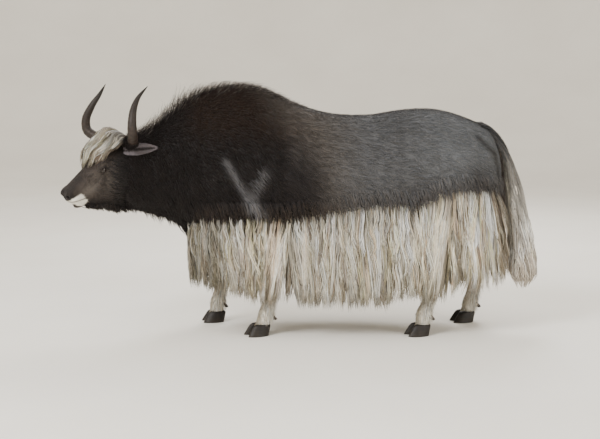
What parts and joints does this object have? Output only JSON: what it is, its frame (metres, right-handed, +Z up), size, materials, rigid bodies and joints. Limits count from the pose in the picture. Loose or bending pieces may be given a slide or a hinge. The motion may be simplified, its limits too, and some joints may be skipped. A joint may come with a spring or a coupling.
{
  "type": "yak",
  "caption": "Standing domestic yak, life size, with a humped shoulder, upswept horns, a pale forelock, a long pale belly fringe and a bushy tail.",
  "frame": {"origin": "on the ground, under the middle of the whole animal's box", "axes": "-X the way the animal faces, +X towards the tail, -Y its left side, +Z up"},
  "size_m": [2.5912, 0.6914, 1.3688],
  "materials": {
    "dark_coat": "near-black brown hair, dense and matt, with a soft sheen",
    "slate_coat": "slate grey hair, short and close, slightly silky",
    "fringe_hair": "long silky cream, white and tan locks",
    "leg_hair": "cream and tan hair, short below the knee",
    "forelock_hair": "cream and straw-grey mop of wavy hair",
    "tail_hair": "long grey to fawn tail hair with a few dark strands",
    "muzzle": "dark moist nose pad and short white hair on the lips",
    "horn": "dark brown keratin, faintly ringed, satin",
    "hoof": "black keratin with fine growth rings, satin",
    "eye": "dark brown, wet and glossy"
  },
  "bodies": {
    "root": {"head": "dark_coat", "muzzle": "muzzle", "eye_left": "eye", "eye_right": "eye", "forelock": "forelock_hair", "horn_left": "horn", "horn_right": "horn", "ear_left": "dark_coat", "ear_right": "dark_coat", "neck": "dark_coat", "shoulders": "dark_coat", "barrel": "slate_coat", "hindquarters": "slate_coat", "foreleg_left": "leg_hair", "hoof_fore_left_l": "hoof", "dewclaw_fore_left_l": "hoof", "hoof_fore_left_r": "hoof", "dewclaw_fore_left_r": "hoof", "foreleg_right": "leg_hair", "hoof_fore_right_l": "hoof", "dewclaw_fore_right_l": "hoof", "hoof_fore_right_r": "hoof", "dewclaw_fore_right_r": "hoof", "hindleg_left": "leg_hair", "hoof_hind_left_l": "hoof", "dewclaw_hind_left_l": "hoof", "hoof_hind_left_r": "hoof", "dewclaw_hind_left_r": "hoof", "hindleg_right": "leg_hair", "hoof_hind_right_l": "hoof", "dewclaw_hind_right_l": "hoof", "hoof_hind_right_r": "hoof", "dewclaw_hind_right_r": "hoof", "skirt_left": "fringe_hair", "skirt_right": "fringe_hair", "skirt_chest": "fringe_hair", "tail_dock": "slate_coat", "tail_brush": "tail_hair"}
  },
  "joints": []
}
